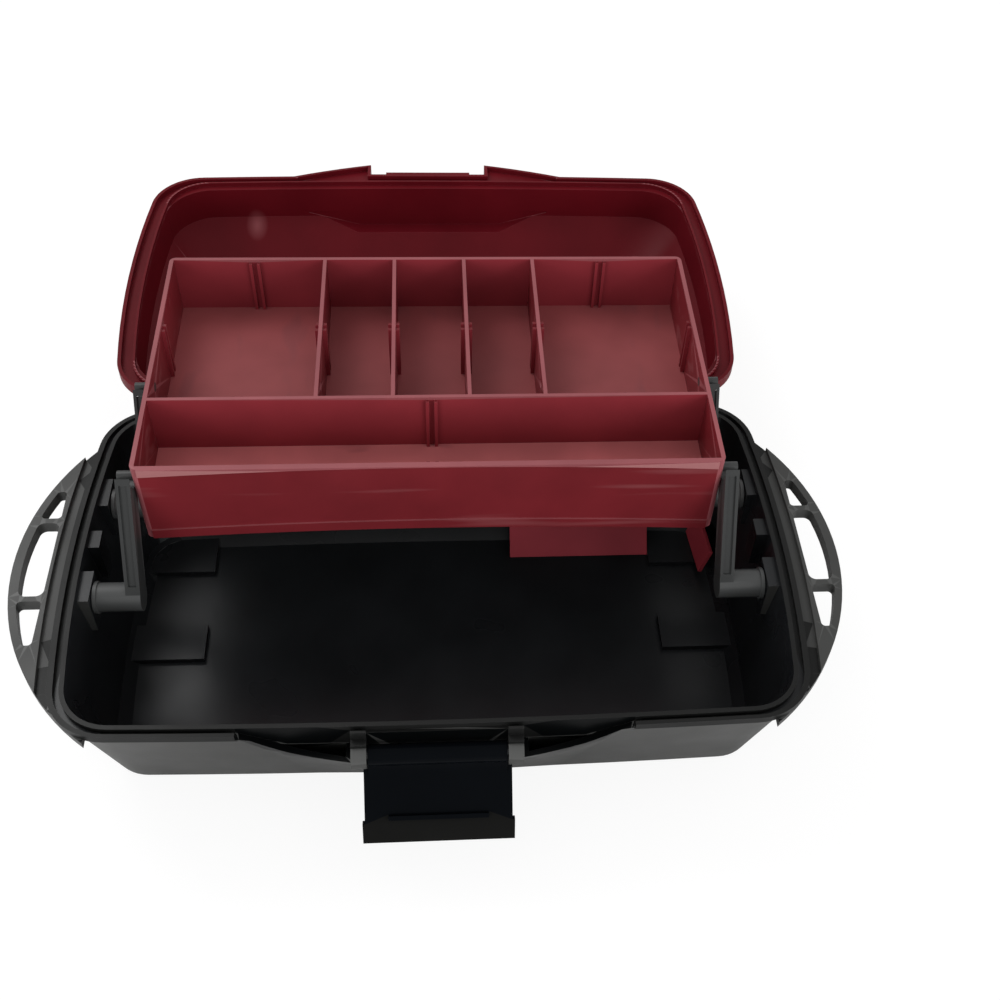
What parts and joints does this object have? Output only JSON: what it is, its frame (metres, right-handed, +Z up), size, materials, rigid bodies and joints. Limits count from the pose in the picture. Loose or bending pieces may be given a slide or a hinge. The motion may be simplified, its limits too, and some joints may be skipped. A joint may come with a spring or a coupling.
{
  "type": "fishing tackle box",
  "caption": "Moulded fishing tackle box, open, with a hinged lid, a cantilever compartment tray on swing arms, carrying wings, a front latch and a folding handle.",
  "frame": {"origin": "middle of the tub's underside, on the surface it stands on", "axes": "+Z up, +Y towards the hinge and the opened lid, +X to the right of someone who stands at the latch"},
  "size_m": [0.3748, 0.4446, 0.122],
  "materials": {
    "tub_black": "satin moulded plastic, faintly textured outside",
    "lid_red": "satin moulded plastic",
    "tray_red": "satin moulded plastic with fine scratches",
    "arm_grey": "matt moulded plastic",
    "latch_black": "glossy moulded plastic",
    "handle_black": "matt moulded plastic",
    "pin_steel": "drawn wire",
    "pin_plastic": "matt moulded plastic"
  },
  "bodies": {
    "tub": {"base_tub": "tub_black", "latch_pin": "pin_steel", "lid_hinge_pin_left": "pin_steel", "lid_hinge_pin_right": "pin_steel", "divider_plate_long": "tray_red", "divider_plate_short": "tray_red"},
    "lid": {"lid_shell": "lid_red", "handle_pin_left": "pin_plastic", "handle_pin_right": "pin_plastic"},
    "handle": {"carrying_handle": "handle_black"},
    "latch": {"latch": "latch_black"},
    "tray": {"tray": "tray_red"},
    "arm_front_left": {"arm_front_left": "arm_grey", "tray_pin_front_left": "pin_plastic"},
    "arm_front_right": {"arm_front_right": "arm_grey", "tray_pin_front_right": "pin_plastic"},
    "arm_rear_left": {"arm_rear_left": "arm_grey", "tray_pin_rear_left": "pin_plastic"},
    "arm_rear_right": {"arm_rear_right": "arm_grey", "tray_pin_rear_right": "pin_plastic"}
  },
  "joints": [
    {"name": "lid_hinge", "type": "hinge", "parent": "tub", "child": "lid", "pos_m": [0, 0.1064, 0.06975], "axis": [1, 0, 0], "range_deg": [0, 180]},
    {"name": "handle_hinge", "type": "hinge", "parent": "lid", "child": "handle", "pos_m": [0, 0.2128, 0.00665], "axis": [1, 0, 0], "range_deg": [-95, 0]},
    {"name": "latch_hinge", "type": "hinge", "parent": "tub", "child": "latch", "pos_m": [0, -0.099, 0.064], "axis": [1, 0, 0], "range_deg": [-136, 0]},
    {"name": "arm_front_left_swing", "type": "hinge", "parent": "tub", "child": "arm_front_left", "pos_m": [0, -0.0147, 0.0652], "axis": [1, 0, 0], "range_deg": [0, 106]},
    {"name": "arm_front_right_swing", "type": "hinge", "parent": "tub", "child": "arm_front_right", "pos_m": [0, -0.0147, 0.0652], "axis": [1, 0, 0], "range_deg": [0, 106]},
    {"name": "arm_rear_left_swing", "type": "hinge", "parent": "tub", "child": "arm_rear_left", "pos_m": [0, 0.0413, 0.0652], "axis": [1, 0, 0], "range_deg": [0, 106]},
    {"name": "arm_rear_right_swing", "type": "hinge", "parent": "tub", "child": "arm_rear_right", "pos_m": [0, 0.0413, 0.0652], "axis": [1, 0, 0], "range_deg": [0, 106]},
    {"name": "tray_level", "type": "hinge", "parent": "arm_rear_left", "child": "tray", "pos_m": [0, 0.071, 0.113], "axis": [1, 0, 0], "range_deg": [-106, 0]}
  ],
  "couplings": [
    {"joint": "arm_front_left_swing", "follows": "lid_hinge", "ratio": 0.58889},
    {"joint": "arm_front_right_swing", "follows": "lid_hinge", "ratio": 0.58889},
    {"joint": "arm_rear_left_swing", "follows": "lid_hinge", "ratio": 0.58889},
    {"joint": "arm_rear_right_swing", "follows": "lid_hinge", "ratio": 0.58889},
    {"joint": "tray_level", "follows": "lid_hinge", "ratio": -0.58889}
  ]
}
